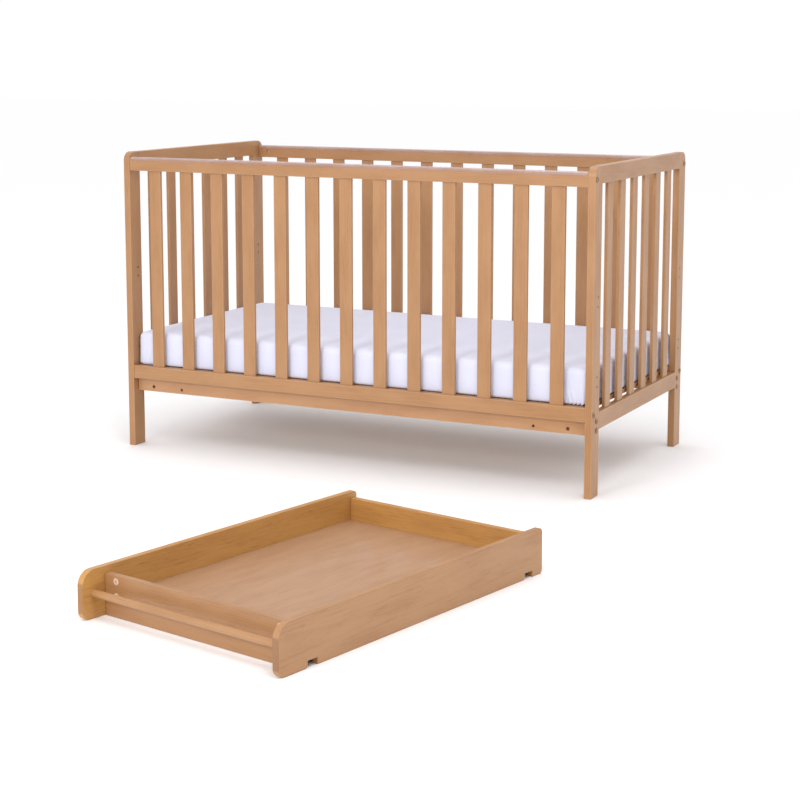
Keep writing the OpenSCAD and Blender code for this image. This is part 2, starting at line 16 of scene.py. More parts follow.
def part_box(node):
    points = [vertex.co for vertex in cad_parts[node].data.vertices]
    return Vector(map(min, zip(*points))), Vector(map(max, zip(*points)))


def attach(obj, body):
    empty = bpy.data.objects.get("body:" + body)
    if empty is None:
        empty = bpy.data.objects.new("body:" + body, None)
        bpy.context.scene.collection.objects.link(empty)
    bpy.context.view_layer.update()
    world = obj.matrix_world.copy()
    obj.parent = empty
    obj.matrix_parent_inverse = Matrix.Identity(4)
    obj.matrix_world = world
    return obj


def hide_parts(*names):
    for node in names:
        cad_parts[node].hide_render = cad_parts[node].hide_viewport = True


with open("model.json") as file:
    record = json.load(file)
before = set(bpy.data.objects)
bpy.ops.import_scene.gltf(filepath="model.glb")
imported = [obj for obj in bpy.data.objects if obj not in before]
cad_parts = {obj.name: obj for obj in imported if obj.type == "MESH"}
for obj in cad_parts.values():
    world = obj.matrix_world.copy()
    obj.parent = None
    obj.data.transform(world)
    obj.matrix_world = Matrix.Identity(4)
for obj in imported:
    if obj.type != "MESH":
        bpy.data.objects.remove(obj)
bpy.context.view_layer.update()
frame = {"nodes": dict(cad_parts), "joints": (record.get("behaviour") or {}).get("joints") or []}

X, Y, Z = 0, 1, 2
TURN_TO = {X: (0, math.pi / 2, 0), Y: (math.pi / 2, 0, 0), Z: (0, 0, 0)}
OVER = 0.002  # how far a cutter runs past a face

# Boards
EASE = 0.0015  # radius of a board's arrises
SLAT_EASE = 0.0022
FINE_EASE = 0.002  # base slats, and the changer's front and rear boards
ROD_EASE = 0.001  # ends of dowels and of the towel rail
POST_ROUND = 0.026
RAIL_ROUND = 0.008
PLAY = 0.0001  # round a slat or a rod in its mortise or socket
END_PLAY, SOCKET_PLAY = PLAY * 4, PLAY * 5  # past a tenon's or panel's end, and past a rod's
THROUGH_POST = 0.05  # length of a drill that goes through a post
END_SLATS, SLAT_W = 6, 0.038
SIDE_SLATS = 13

# Bolts, barrel nuts, screws and dowels
BOLT_D, BOLT_BORE = 0.006, 0.0064
HEAD_D, HEAD_H = 0.014, 0.002
SOCKET_D, SOCKET_DEEP = 0.0046, 0.0016
NUT_D, NUT_BORE, NUT_L, NUT_SINK = 0.010, 0.0102, 0.014, 0.003
NUT_SLOT_W, NUT_SLOT_DEEP = 0.0014, 0.0015
METAL_EASE = 0.0005
SIDE_NUT_IN, BASE_NUT_IN, BOLT_PAST = 0.034, 0.054, 0.010
BASE_BOLT_UP, BOLT_PAIR, MIDDLE_RISE = 0.014, 0.025, 0.115
CROSS_SCREW_UP, CROSS_SCREW_PAIR, CROSS_SINK = 0.012, 0.034, 0.005
SCREW_D, SCREW_HEAD, SCREW_CONE, SCREW_PLAY = 0.004, 0.008, 0.002, 0.0004
SCREW_CROSS_L, SCREW_CROSS_W, SCREW_CROSS_DEEP = 0.0042, 0.0010, 0.0014
SCREW_TIP = 0.2  # width of a screw's point, as a share of its shank
SINK_OVER = 0.0004  # how far a countersink's cutter runs past a slat's top
SLAT_SCREW_L, CROSS_SCREW_L = 0.040, 0.060
DOWEL_D, DOWEL_L, DOWEL_IN, DOWEL_OFF = 0.008, 0.030, 0.012, 0.011

# Mattress base
BASE_SLATS, BASE_SLAT_W, CROSS_RAIL_T = 13, 0.060, 0.020

# Teething covers
COVER_T, COVER_PLAY, COVER_EASE = 0.0012, 0.0001, 0.0003

# Changer
TRAY_TURN = math.radians(-12)
FRONT_TOP_ROUND, FRONT_FOOT_ROUND, REAR_ROUND = 0.032, 0.019, 0.010
NOTCH_IN, NOTCH_W, NOTCH_D, NOTCH_ROUND = 0.096, 0.028, 0.014, 0.007
CAM_D, CAM_BORE, CAM_DEEP, CAM_EASE = 0.015, 0.0152, 0.0125, 0.0004
CAM_IN, CAM_ZS = 0.034, (0.077, 0.045)
CAM_BOLT_D, CAM_BOLT_IN = 0.006, 0.0105
CAM_CROSS_L, CAM_CROSS_W, CAM_CROSS_DEEP = 0.0095, 0.0022, 0.003
CAM_HUB_D, CAM_HUB_DEEP = 0.0052, 0.004
PANEL_EASE, GROOVE_PLAY = 0.0006, 0.00015

# Mattress and its fitted sheet
CORE_IN, CORE_UP, CORE_UNDER_TOP = 0.0016, 0.0016, 0.0036
CORE_CORNER, CORE_EDGE, CORE_LOW_EDGE = 0.012, 0.016, 0.011
CORE_GRAIN = 0.010  # size of the cells that the core is remeshed in
SHEET_OFF, SHEET_CORNER, SHEET_LOW_EDGE = 0.0007, 0.010, 0.007
SHEET_TUCK = 0.065
SHEET_GAP, SHEET_MERGE = 0.0005, 0.00005  # off the core, and for points that become one
# Rounds of points on the tuck, the lower edge, the sides, the upper edge and the top
TUCK_ROUNDS, LOW_ROUNDS, SIDE_ROUNDS, EDGE_ROUNDS, TOP_ROUNDS = 8, 6, 14, 8, 15

# Folds of the sheet: how deep they are, how far along from a corner and how far up they reach
FOLD_PITCH, FOLD_DEPTH, FOLD_REACH, FOLD_UP = 0.0115, 0.0036, 0.055, 0.042
FOLD_FULLNESS = (0.8, 0.7, 0.6, 1.0)  # rear right, rear left, front left and front right corner
FAN_REACH = 0.09  # the folds nearer a corner than this widen upwards
EDGE_FOLD_DEPTH, EDGE_FOLD_UP = 0.0013, 0.013
HEM_RIPPLE, SIDE_PULL, SIDE_SWELL, TOP_CROWN = 0.0007, 0.0005, 0.0004, 0.0009


# ---------- modelling by hand ----------


def take(obj):
    """Makes obj the one selected and active object."""
    bpy.ops.object.select_all(action="DESELECT")
    obj.select_set(True)
    bpy.context.view_layer.objects.active = obj


def settled(obj, name):
    """Names a new primitive and puts its place and size in its mesh."""
    obj.name = obj.data.name = name
    take(obj)
    bpy.ops.object.transform_apply(location=True, rotation=True, scale=True)
    return obj


def block(lo, hi, name="block"):
    lo, hi = Vector(lo), Vector(hi)
    bpy.ops.object.select_all(action="DESELECT")
    bpy.ops.mesh.primitive_cube_add(size=1, location=(lo + hi) / 2, scale=hi - lo)
    return settled(bpy.context.object, name)


def rod(centre, axis, diameter, length, sides=32):
    bpy.ops.object.select_all(action="DESELECT")
    bpy.ops.mesh.primitive_cylinder_add(
        vertices=sides, radius=diameter / 2, depth=length, location=centre, rotation=TURN_TO[axis])
    return settled(bpy.context.object, "rod")


def bore(start, end, diameter, sides=32):
    """A rod between two points that differ along one axis only."""
    start, end = Vector(start), Vector(end)
    axis = max((X, Y, Z), key=lambda i: abs(end[i] - start[i]))
    return rod((start + end) / 2, axis, diameter, (end - start).length, sides)


def applied(obj, kind, **settings):
    """Adds a modifier with these settings and applies it."""
    modifier = obj.modifiers.new(kind.lower(), kind)
    for key, value in settings.items():
        setattr(modifier, key, value)
    take(obj)
    bpy.ops.object.modifier_apply(modifier=modifier.name)
    return obj


def edited(obj, kind, chosen, *steps):
    """Selects the edges or faces that pass the test in edit mode, and takes the steps on them."""
    take(obj)
    bpy.ops.object.mode_set(mode="EDIT")
    bpy.ops.mesh.select_mode(type=kind)
    bpy.ops.mesh.select_all(action="DESELECT")
    mesh = bmesh.from_edit_mesh(obj.data)
    for part in mesh.edges if kind == "EDGE" else mesh.faces:
        part.select_set(chosen(part))
    mesh.select_flush_mode()
    bmesh.update_edit_mesh(obj.data)
    for step in steps:
        step()
    bpy.ops.object.mode_set(mode="OBJECT")
    return obj


def round_edges(obj, radius, segments, chosen):
    return edited(obj, "EDGE", chosen,
                  lambda: bpy.ops.mesh.bevel(offset=radius, segments=segments, profile=0.5))


def corner(*places):
    """A test for the edge on which each named coordinate has its value."""
    return lambda edge: all(
        abs(v.co[axis] - value) < 1e-6 for v in edge.verts for axis, value in places)


def facing(direction):
    """A test for the faces that look one way."""
    return lambda face: face.normal.dot(Vector(direction)) > 0.99


def eased(obj, radius=EASE, segments=3):
    """Rounds every sharp edge of a piece a little."""
    return applied(obj, "BEVEL", width=radius, segments=segments,
                   limit_method="ANGLE", angle_limit=math.radians(35))


def joined(objs, name):
    bpy.ops.object.select_all(action="DESELECT")
    for obj in objs:
        obj.select_set(True)
    bpy.context.view_layer.objects.active = objs[0]
    if len(objs) > 1:
        bpy.ops.object.join()
    objs[0].name = objs[0].data.name = name
    return objs[0]


def in_scene(name, data):
    """A new object that shows this mesh, light or camera."""
    obj = bpy.data.objects.new(name, data)
    bpy.context.scene.collection.objects.link(obj)
    return obj


def thrown_away(obj):
    bpy.data.objects.remove(obj)


def cut(obj, cutters):
    """Takes the cutters out of obj and throws them away."""
    tool = joined(cutters, "tool")
    applied(obj, "BOOLEAN", object=tool, operation="DIFFERENCE", solver="EXACT", use_self=True)
    thrown_away(tool)
    return obj


def moved(obj, name, by=(0, 0, 0), flip=None, about=0.0):
    """A copy with its own mesh: mirrored across a plane if flip names an axis, then moved."""
    twin = obj.copy()
    twin.data = obj.data.copy()
    twin.name = twin.data.name = name
    bpy.context.scene.collection.objects.link(twin)
    if flip is not None:
        there = Vector([2 * about if i == flip else 0 for i in (X, Y, Z)])
        scale = [-1 if i == flip else 1 for i in (X, Y, Z)]
        twin.data.transform(Matrix.Translation(there) @ Matrix.Diagonal((*scale, 1)))
        twin.data.flip_normals()
    twin.data.transform(Matrix.Translation(by))
    return twin


def span(points):
    """The lowest and the highest corner of a list of points."""
    return (Vector([min(p[i] for p in points) for i in (X, Y, Z)]),
            Vector([max(p[i] for p in points) for i in (X, Y, Z)]))


def lay_grain(obj, along, name=None):
    """Tells each point its place in its board, from the middle: along, across and through.

    The board's name gives the seed by which its grain differs from its neighbours'.
    """
    lo, hi = span([v.co for v in obj.data.vertices])
    centre, half = (lo + hi) / 2, (hi - lo) / 2
    order = [along, *sorted((i for i in (X, Y, Z) if i != along), key=lambda i: -half[i])]
    own = random.Random(name or obj.name).uniform(1, 40)
    places = [v.co[k] - centre[k] for v in obj.data.vertices for k in order]
    count = len(obj.data.vertices)
    for key, kind, field, values in (
            ("grain_at", "FLOAT_VECTOR", "vector", places),
            ("grain_half", "FLOAT_VECTOR", "vector", [half[k] for k in order] * count),
            ("grain_seed", "FLOAT", "value", [own] * count)):
        obj.data.attributes.new(key, kind, "POINT").data.foreach_set(field, values)
    return obj


def dressed(obj, body, material, node):
    """Smooths a finished piece, paints it, and lets it ride in place of its CAD node."""
    take(obj)
    bpy.ops.object.shade_smooth_by_angle(angle=math.radians(40))
    applied(obj, "WEIGHTED_NORMAL", keep_sharp=True, weight=80)
    obj.data.materials.clear()
    obj.data.materials.append(material)
    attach(obj, body)
    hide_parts(node)
    return obj


def lacquered(obj, along, node):
    """Finishes a honey-coloured piece of the cot's panels."""
    return dressed(lay_grain(obj, along), "cot", honey_wood, node)


def middle(box, axis):
    return (box[0][axis] + box[1][axis]) / 2


def in_row(box, axis, width, count):
    """The boxes of equal boards that stand in a row inside one box."""
    lo, hi = box
    pitch = (hi[axis] - lo[axis] - width) / (count - 1)
    step = Vector([pitch if i == axis else 0 for i in (X, Y, Z)])
    first_hi = Vector([lo[axis] + width if i == axis else hi[i] for i in (X, Y, Z)])
    return [(lo + step * i, first_hi + step * i) for i in range(count)]


# ---------- shader values ----------


class Value:
    """A shader value that adds its own Math nodes when an expression uses it."""

    def __init__(self, finish, socket):
        self.finish, self.socket = finish, socket

    def math(self, operation, *others):
        return self.finish.node("ShaderNodeMath", {"operation": operation}, [self, *others])

    def __add__(self, other):
        return self.math("ADD", other)

    def __sub__(self, other):
        return self.math("SUBTRACT", other)

    def __mul__(self, other):
        return self.math("MULTIPLY", other)

    def __rsub__(self, other):
        return self * -1 + other

    __radd__, __rmul__ = __add__, __mul__

    def least(self, other):
        return self.math("MINIMUM", other)

    def most(self, other):
        return self.math("MAXIMUM", other)

    def step(self, low, high):
        """0 up to low, 1 from high on, and smooth between them."""
        return self.finish.node("ShaderNodeMapRange", {"interpolation_type": "SMOOTHSTEP"},
                                {"Value": self, "From Min": low, "From Max": high})


class Finish:
    """A material whose nodes are added one by one to its main shader."""

    def __init__(self, name, **constants):
        self.material = bpy.data.materials.new(name)
        self.material.use_nodes = True
        self.nodes, self.links = self.material.node_tree.nodes, self.material.node_tree.links
        self.shader = next(n for n in self.nodes if n.type == "BSDF_PRINCIPLED")
        for key, value in constants.items():
            socket = key.replace("_", " ").title().replace("Ior", "IOR")
            self.shader.inputs[socket].default_value = value

    def node(self, kind, settings, sockets, out=0):
        """Adds one node: its settings first, then the values or links of its sockets."""
        node = self.nodes.new(kind)
        for key, value in settings.items():
            setattr(node, key, value)
        pairs = enumerate(sockets) if isinstance(sockets, (list, tuple)) else sockets.items()
        for key, value in pairs:
            self.feed(node.inputs[key], value)
        return Value(self, node.outputs[out])

    def feed(self, socket, value):
        if isinstance(value, Value):
            self.links.new(value.socket, socket)
        else:
            socket.default_value = value

    def attribute(self, name, out="Vector"):
        return self.node("ShaderNodeAttribute", {"attribute_name": name}, {}, out)

    def split(self, vector):
        parts = self.node("ShaderNodeSeparateXYZ", {}, [vector]).socket.node
        return [Value(self, output) for output in parts.outputs]

    def vector(self, x, y, z):
        return self.node("ShaderNodeCombineXYZ", {}, [x, y, z])

    def noise(self, vector, scale=1.0, detail=2.0, rough=0.5):
        return self.node("ShaderNodeTexNoise", {}, {
            "Vector": vector, "Scale": scale, "Detail": detail, "Roughness": rough})

    def mix(self, factor, first, second):
        sockets = {0: factor, 6: first, 7: second}
        return self.node("ShaderNodeMix", {"data_type": "RGBA"}, sockets, 2)

    def bump(self, height, strength, distance):
        self.feed(self.shader.inputs["Normal"], self.node(
            "ShaderNodeBump", {}, {"Height": height, "Strength": strength, "Distance": distance}))

    def paint(self, colour, roughness):
        self.feed(self.shader.inputs["Base Color"], colour)
        self.feed(self.shader.inputs["Roughness"], roughness)
        return self.material


def colour(red, green, blue):
    """A colour given as a paint chart does, 0 to 255, as Blender's linear values."""
    shares = [c / 255 for c in (red, green, blue)]
    return (*[s / 12.92 if s < 0.04045 else ((s + 0.055) / 1.055) ** 2.4 for s in shares], 1.0)


# ---------- finishes ----------


def wood(name, pale, deep, end, edge=(222, 182, 138),
         rings=0.14, mottle=0.30, flecks=0.14, spacing=0.0035, tones=0.10, rough=0.35, gloss=0.18):
    """Lacquered wood cut from a log: growth rings, fibres, flecks, pores and cloudy stain.

    The colours are those of pale and deep grain, of the cut ends and of the arrises, whose colour
    is partly painted light. Rings, mottle, flecks and tones say how strongly each shows, and
    spacing is that of the rings.
    """
    pale, deep, end, edge = colour(*pale), colour(*deep), colour(*end), colour(*edge)
    f = Finish(name, coat_weight=gloss, coat_roughness=0.2)
    seed = f.attribute("grain_seed", "Fac")
    along, across, through = f.split(f.attribute("grain_at"))
    half_along, half_across, half_through = f.split(f.attribute("grain_half"))

    # The board's place in the log; its rings bend slowly along the board.
    shift = seed * 3.7
    sway = f.noise(f.vector(along * 2.2 + shift, across * 5, through * 5 + seed))
    log_y = across + (sway - 0.5) * 0.05 + (seed.math("FRACT") - 0.5) * 0.09
    log_z = through + along * 0.012 + 0.035
    radius = (log_y * log_y + log_z * log_z).math("SQRT")
    ring = (radius * (2 * math.pi / spacing) + (sway - 0.5) * 9).math("SINE") * 0.5 + 0.5
    ring = ring * ring

    def streaks(lengthwise, crosswise, **look):
        """Noise drawn out along the grain, by how many of its marks lie in a metre each way."""
        return f.noise(
            f.vector(along * lengthwise + shift, across * crosswise, through * crosswise), **look)

    fibre = streaks(16, 420, detail=3, rough=0.6)
    pore = streaks(120, 1700, detail=1).step(0.62, 0.74)
    fleck = streaks(28, 300, detail=3).step(0.55, 0.72)
    stain_at = f.vector(along * 7 + shift, across * 26 + seed, through * 26)
    cloud = f.noise(stain_at, detail=3, rough=0.55).step(0.3, 0.7)
    depth = ring * rings + fibre * 0.32 + cloud * mottle + fleck * flecks
    board = f.mix(depth.step(0.12, 0.85), pale, deep)

    # Ends drink more stain. Arrises take a colour of their own: on the cot's wood it is paler,
    # partly wear and partly a painted highlight; on the changer's it is darker, a painted shade
    # outline.
    to_end = half_along - along.math("ABSOLUTE")
    to_side = half_across - across.math("ABSOLUTE")
    to_face = half_through - through.math("ABSOLUTE")
    to_arris = to_end.least(to_side).most(to_end.most(to_side).least(to_face))
    cut_end = 1 - to_end.step(0.0002, 0.0012)
    arris_wear_and_painted_light = 1 - to_arris.step(0.0006, 0.0030)
    board = f.mix(cut_end * 0.6, board, end)
    board = f.mix(arris_wear_and_painted_light * (0.10 + fibre * 0.14), board, edge)
    board = f.mix(pore * 0.28, board, end)
    tone = (seed * 7.3).math("FRACT")
    board = f.mix(tone * tones, board, end)

    grit = f.noise(f.vector(along * 160, across * 160, through * 160))
    f.bump(fibre * 0.35 - pore * 0.8 + grit * 0.25, 0.22, 0.0004)
    return f.paint(board, rough + fibre * 0.12 + cloud * 0.05 - arris_wear_and_painted_light * 0.04)


def zinc(name, bright, dull, metallic=1.0):
    """Plated metal: a dull, cloudy plate with fine scratches."""
    f = Finish(name, metallic=metallic)
    place = f.node("ShaderNodeTexCoord", {}, {}, "Object")
    cloudy = f.noise(place, 180, 3).step(0.35, 0.7)
    scratch = f.noise(place, 2400, 2)
    f.bump(scratch, 0.15, 0.0001)
    plate = f.mix(cloudy, colour(*bright), colour(*dull))
    return f.paint(plate, cloudy * 0.2 + scratch * 0.12 + 0.26)


def clear_plastic(name, clear, rubbed_white):
    """Clear plastic gone milky from wear, with fine rubbed marks along it, and more opaque on faces
    that look up: a painted sheen on its top.
    """
    f = Finish(name, ior=1.46, coat_weight=0.4, coat_roughness=0.12)
    place = f.node("ShaderNodeTexCoord", {}, {}, "Object")
    rubbed = f.noise(place, 14, 3).step(0.35, 0.75)
    fine = f.noise(f.node("ShaderNodeMapping", {}, {"Vector": place, "Scale": (40, 900, 900)}))
    # Upward faces are made more opaque, so more of the pale plastic shows on the top. This is
    # painted sheen for the white room's reflection there, and partly wear from hands.
    top_sheen_and_wear = f.split(f.node("ShaderNodeTexCoord", {}, {}, "Normal"))[Z].step(0.3, 0.9)
    f.feed(f.shader.inputs["Alpha"], top_sheen_and_wear * 0.28 + rubbed * 0.04 + 0.12)
    f.bump(fine, 0.1, 0.0002)
    milky = f.mix(rubbed, colour(*clear), colour(*rubbed_white))
    return f.paint(milky, rubbed * 0.16 + fine * 0.05 + 0.16)


def cotton(name, white, shade, thread=0.0009):
    """Plain-woven cotton: threads over and under, slight slubs, and a soft nap."""
    f = Finish(name, sheen_weight=0.25, sheen_roughness=0.5)
    place = f.node("ShaderNodeTexCoord", {}, {}, "Object")
    x, y, z = f.split(place)
    turns = 2 * math.pi / thread
    weave = ((x + z) * turns).math("SINE") * ((y + z * 0.5) * turns).math("SINE")
    slub = f.noise(f.node("ShaderNodeMapping", {}, {"Vector": place, "Scale": (60, 900, 300)}))
    soft = f.noise(place, 9, 3, 0.55)
    f.bump(weave * 0.35 + slub * 0.5 + soft * 0.3, 0.12, 0.0004)
    cloth = f.mix(soft.step(0.3, 0.7) * 0.5 + slub * 0.3, colour(*white), colour(*shade))
    return f.paint(cloth, slub * 0.1 + 0.82)


honey_wood = wood("honey_lacquered_wood", (171, 126, 83), (154, 108, 65), (124, 84, 50))
# Base rails: painted paler than the panels' wood, a painted lift against the shade that the lower
# rails throw on them.
base_wood_painted_lighter = wood("base_rail_wood", (182, 136, 94), (167, 119, 77), (136, 94, 60))
raw_wood = wood("planed_slat_wood", (182, 138, 96), (166, 118, 76), (138, 96, 60), rough=0.55)
# The changer's wood comes as two painted copies. The golden one goes on boards whose inner faces
# show, and paints the warm light the tray's walls throw on each other. The muted one is darker and
# greyer, goes on boards whose outer faces show, and paints shade and their pale sheen. Both have
# dark arrises, a painted shade outline.
golden_wood_painted_bounce = wood("changer_golden_wood", (188, 139, 75), (163, 112, 55), (124, 79, 40),
                   edge=(124, 88, 58), rings=0.10, mottle=0.26, flecks=0.34, spacing=0.006)
muted_wood_painted_shade = wood("changer_muted_wood", (169, 125, 82), (149, 103, 62), (118, 76, 44),
                  edge=(118, 84, 56), rings=0.10, mottle=0.26, flecks=0.20, spacing=0.006)
changer_ply = wood("changer_floor_plywood", (173, 134, 101), (157, 118, 85), (132, 94, 62),
                   rings=0.10, flecks=0.22, spacing=0.012, rough=0.42, gloss=0.35)
dowel_wood = wood("dowel_beech", (186, 142, 100), (168, 122, 80), (140, 98, 62), rough=0.6)
bolt_zinc = zinc("bronzed_bolt_plate", (176, 142, 108), (124, 96, 70))
# Dark plate on the base's barrel nuts and screws: painted shade, standing for the shade in the
# holes they sit in.
nut_zinc_painted_shade = zinc("browned_nut_plate", (132, 92, 60), (96, 64, 40))
brass_nut = zinc("yellow_zinc_nut", (226, 178, 132), (206, 158, 114), 0.5)
cam_zinc = zinc("pale_zinc_casting", (236, 214, 198), (218, 192, 172), 0.3)
milky_plastic = clear_plastic("milky_cover_plastic", (178, 158, 160), (196, 178, 180))
sheet_cotton = cotton("fitted_sheet_cotton", (215, 218, 236), (208, 210, 230))
hem_cotton = cotton("sheet_hem_cotton", (226, 228, 243), (210, 211, 230))
ticking = cotton("mattress_ticking", (236, 235, 232), (222, 221, 217), thread=0.0014)


# ---------- places on the cot ----------

post_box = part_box("front_left_post")
top_rail_box, lower_rail_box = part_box("front_top_rail"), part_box("front_lower_rail")
base_rail_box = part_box("base_front_rail")
mirror_x = (post_box[0][X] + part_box("front_right_post")[1][X]) / 2
mirror_y = (post_box[0][Y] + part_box("rear_left_post")[1][Y]) / 2
post_x = middle(post_box, X)
side_mid, base_mid = middle(top_rail_box, Y), middle(base_rail_box, Y)
panel_bolt_zs = [middle(lower_rail_box, Z), middle(top_rail_box, Z)]
panel_dowel_zs = [panel_bolt_zs[0] + DOWEL_OFF, panel_bolt_zs[1] - DOWEL_OFF]
base_foot = base_rail_box[0][Z]
base_bolt_zs = [base_foot + BASE_BOLT_UP, base_foot + BASE_BOLT_UP + BOLT_PAIR]
base_travel = next(j["range_m"][1] for j in frame["joints"] if j["name"] == "base_height")
cross_screw_zs = [base_foot + CROSS_SCREW_UP, base_foot + CROSS_SCREW_UP + CROSS_SCREW_PAIR]
cross_rail_boxes = in_row(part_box("base_cross_rails"), X, CROSS_RAIL_T, 2)
base_slat_boxes = in_row(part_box("base_slats"), X, BASE_SLAT_W, BASE_SLATS)


def four_ways(obj, name):
    """A piece of the front left quarter in all four: yields each with its side and its end."""
    right = moved(obj, "right", flip=X, about=mirror_x)
    for front, end in ((obj, "left"), (right, "right")):
        for side in ("front", "rear"):
            flip = Y if side == "rear" else None
            named = name.format(side=side, end=end)
            yield moved(front, named, flip=flip, about=mirror_y), side, end
    thrown_away(right)
    thrown_away(obj)


def two_sides(obj, name):
    """A piece of the front with its mirror image at the rear."""
    yield moved(obj, name.format(side="front")), "front"
    yield moved(obj, name.format(side="rear"), flip=Y, about=mirror_y), "rear"
    thrown_away(obj)


def two_ends(obj, name):
    """A piece of the left end with its mirror image at the right."""
    yield moved(obj, name.format(end="left")), "left"
    yield moved(obj, name.format(end="right"), flip=X, about=mirror_x), "right"
    thrown_away(obj)


def everywhere(make, heights, name):
    """One small piece made at each height of the front left quarter, in all four, as one object."""
    copies = [twin for z in heights for twin, *_ in four_ways(make(z), "quarter")]
    return joined(copies, name)


# ---------- end panels ----------


def posts():
    lo, hi = post_box
    post = block(lo, hi)
    round_edges(post, POST_ROUND, 12, corner((Y, lo[Y]), (Z, hi[Z])))
    eased(post)
    places = [(side_mid, z) for z in panel_bolt_zs]
    base_heights = (0, MIDDLE_RISE, base_travel)
    places += [(base_mid, z + rise) for rise in base_heights for z in base_bolt_zs]
    cut(post, [rod((post_x, y, z), X, BOLT_BORE, THROUGH_POST) for y, z in places])
    for twin, side, end in four_ways(post, "post_{side}_{end}"):
        lacquered(twin, Z, f"{side}_{end}_post")


def mortise(slat_box):
    """The hole that takes a slat's end: a little larger all round, and square in its corners."""
    room = Vector((PLAY, PLAY, END_PLAY))
    return block(slat_box[0] - room, slat_box[1] + room)


def end_panels():
    slat_boxes = in_row(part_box("left_end_slats"), Y, SLAT_W, END_SLATS)
    for level in ("top", "lower"):
        lo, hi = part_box(f"left_end_{level}_rail")
        # The rail ends at the posts' inner faces, because its tenons are out of sight inside them.
        inner_y = post_box[1][Y]
        rail = eased(block((lo[X], inner_y, lo[Z]), (hi[X], 2 * mirror_y - inner_y, hi[Z])))
        cut(rail, [mortise(box) for box in slat_boxes])
        for twin, end in two_ends(rail, "end_rail_" + level + "_{end}"):
            lacquered(twin, Y, f"{end}_end_{level}_rail")

    first = slat_boxes[0]
    slat = eased(block(*first), SLAT_EASE)
    for end, flip in (("left", None), ("right", X)):
        slats = []
        for i, box in enumerate(slat_boxes):
            twin = moved(slat, f"end_slat_{end}_{i + 1}", box[0] - first[0], flip, mirror_x)
            slats.append(lay_grain(twin, Z))
        panel = joined(slats, f"end_slats_{end}")
        dressed(panel, "cot", honey_wood, f"{end}_end_slats")
    thrown_away(slat)


# ---------- side panels ----------


def side_rails():
    slat_boxes = [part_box(f"front_slat_{i + 1}") for i in range(SIDE_SLATS)]
    for level, box, bolt_z, dowel_z in (
            ("lower", lower_rail_box, panel_bolt_zs[0], panel_dowel_zs[0]),
            ("top", top_rail_box, panel_bolt_zs[1], panel_dowel_zs[1])):
        lo, hi = box
        rail = block(lo, hi)
        if level == "top":
            for y in (lo[Y], hi[Y]):
                round_edges(rail, RAIL_ROUND, 8, corner((Y, y), (Z, hi[Z])))
        eased(rail)
        cutters = [mortise(slat) for slat in slat_boxes]
        for end_x, inward in ((lo[X], 1), (hi[X], -1)):
            bolt_x = end_x + inward * (SIDE_NUT_IN + BOLT_PAST)
            dowel_x = end_x + inward * (DOWEL_L - DOWEL_IN + PLAY)
            for deep, z, wide in ((bolt_x, bolt_z, BOLT_BORE), (dowel_x, dowel_z, DOWEL_D)):
                cutters.append(
                    bore((end_x - inward * OVER, side_mid, z), (deep, side_mid, z), wide))
            nut_x, nut_end = end_x + inward * SIDE_NUT_IN, hi[Y] - NUT_L - NUT_SINK
            cutters.append(bore((nut_x, hi[Y] + OVER, bolt_z), (nut_x, nut_end, bolt_z), NUT_BORE))
        cut(rail, cutters)
        for twin, side in two_sides(rail, "side_rail_" + level + "_{side}"):
            lacquered(twin, X, f"{side}_{level}_rail")


def side_slats():
    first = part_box("front_slat_1")
    slat = eased(block(*first), SLAT_EASE)
    for side in ("front", "rear"):
        for i in range(SIDE_SLATS):
            node = f"{side}_slat_{i + 1}"
            twin = moved(slat, f"slat_{side}_{i + 1}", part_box(node)[0] - first[0])
            lacquered(twin, Z, node)
    thrown_away(slat)


def channel(lo, hi, radius):
    """A long block with both its upper edges rounded."""
    piece = block(lo, hi)
    for y in (lo[Y], hi[Y]):
        round_edges(piece, radius, 8, corner((Y, y), (Z, hi[Z])))
    return piece


def teething_covers():
    """A plastic channel over each long rail, with the rail's own rounding inside it."""
    lo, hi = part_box("front_teething_cover")
    cover = channel(lo, hi, RAIL_ROUND + COVER_T + COVER_PLAY)
    inside = channel(lo + Vector((-OVER, COVER_T, -OVER)), hi + Vector((OVER, -COVER_T, -COVER_T)),
                     RAIL_ROUND + COVER_PLAY)
    cut(cover, [inside])
    eased(cover, COVER_EASE, 2)
    for twin, side in two_sides(cover, "cover_{side}"):
        dressed(twin, "cot", milky_plastic, f"{side}_teething_cover")


# ---------- fasteners ----------


def drawn_out(by):
    bpy.ops.mesh.extrude_region_move(TRANSFORM_OT_translate={"value": by})


def widened(times):
    """Scales what is selected in a turned piece that stands along Z."""
    bpy.ops.transform.resize(value=(times, times, 1))


def bolt(y, z, shank):
    """A flat-headed bolt in the left post, its shank drawn out of the head, its socket cut in."""
    face_x = post_box[0][X]
    head = bore((face_x - HEAD_H, y, z), (face_x, y, z), HEAD_D, 40)
    edited(head, "FACE", facing((1, 0, 0)),
           lambda: bpy.ops.mesh.inset(thickness=(HEAD_D - BOLT_D) / 2),
           lambda: drawn_out((shank, 0, 0)))
    eased(head, METAL_EASE, 2)
    top_x = face_x - HEAD_H
    return cut(head, [bore((top_x - OVER, y, z), (top_x + SOCKET_DEEP, y, z), SOCKET_D, 6)])


def barrel_nut(x, y, z, outward):
    """A barrel nut across a rail, its slotted end towards outward along Y."""
    nut = eased(rod((x, y, z), Y, NUT_D, NUT_L), METAL_EASE, 2)
    end_y, half = y + outward * NUT_L / 2, NUT_SLOT_W / 2
    slot = block((x - NUT_D, end_y - NUT_SLOT_DEEP, z - half),
                 (x + NUT_D, end_y + NUT_SLOT_DEEP, z + half))
    return cut(nut, [bore((x - NUT_D, y, z), (x + NUT_D, y, z), BOLT_D), slot])


